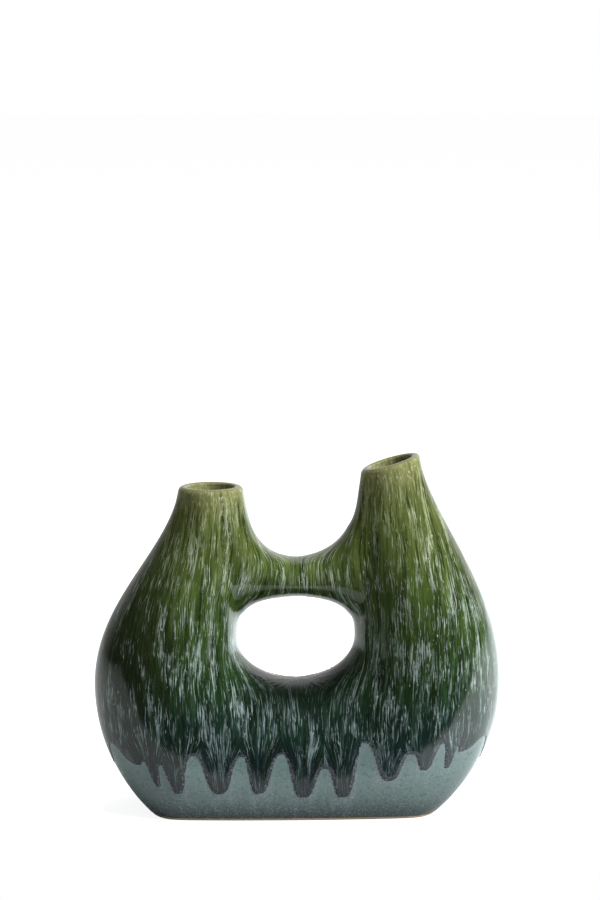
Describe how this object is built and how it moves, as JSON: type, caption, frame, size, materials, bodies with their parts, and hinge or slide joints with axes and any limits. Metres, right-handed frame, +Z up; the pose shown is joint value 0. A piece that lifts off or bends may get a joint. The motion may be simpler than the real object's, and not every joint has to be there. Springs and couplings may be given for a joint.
{
  "type": "ring_vase",
  "caption": "Flat-bodied stoneware vase with an oval hole through its middle, a short upright neck and a taller neck with a sloping rim, in green running glaze over slate.",
  "frame": {"origin": "under the middle of the vase, on the plane that it stands on", "axes": "+Z up, +X to the right along the vase's width, the pictured face towards -Y"},
  "size_m": [0.2551, 0.1, 0.2246],
  "materials": {
    "green_running_glaze": "glossy, streaked with pale mint where it ran",
    "slate_speckled_glaze": "glossy, finely speckled",
    "olive_liner_glaze": "glossy",
    "fired_clay": "matt, bare stoneware"
  },
  "bodies": {
    "root": {"green_glaze": "green_running_glaze", "slate_glaze": "slate_speckled_glaze", "liner_glaze": "olive_liner_glaze", "front_shell": "fired_clay", "rear_shell": "fired_clay", "base_slab": "fired_clay", "left_neck": "fired_clay", "right_neck": "fired_clay"}
  },
  "joints": []
}
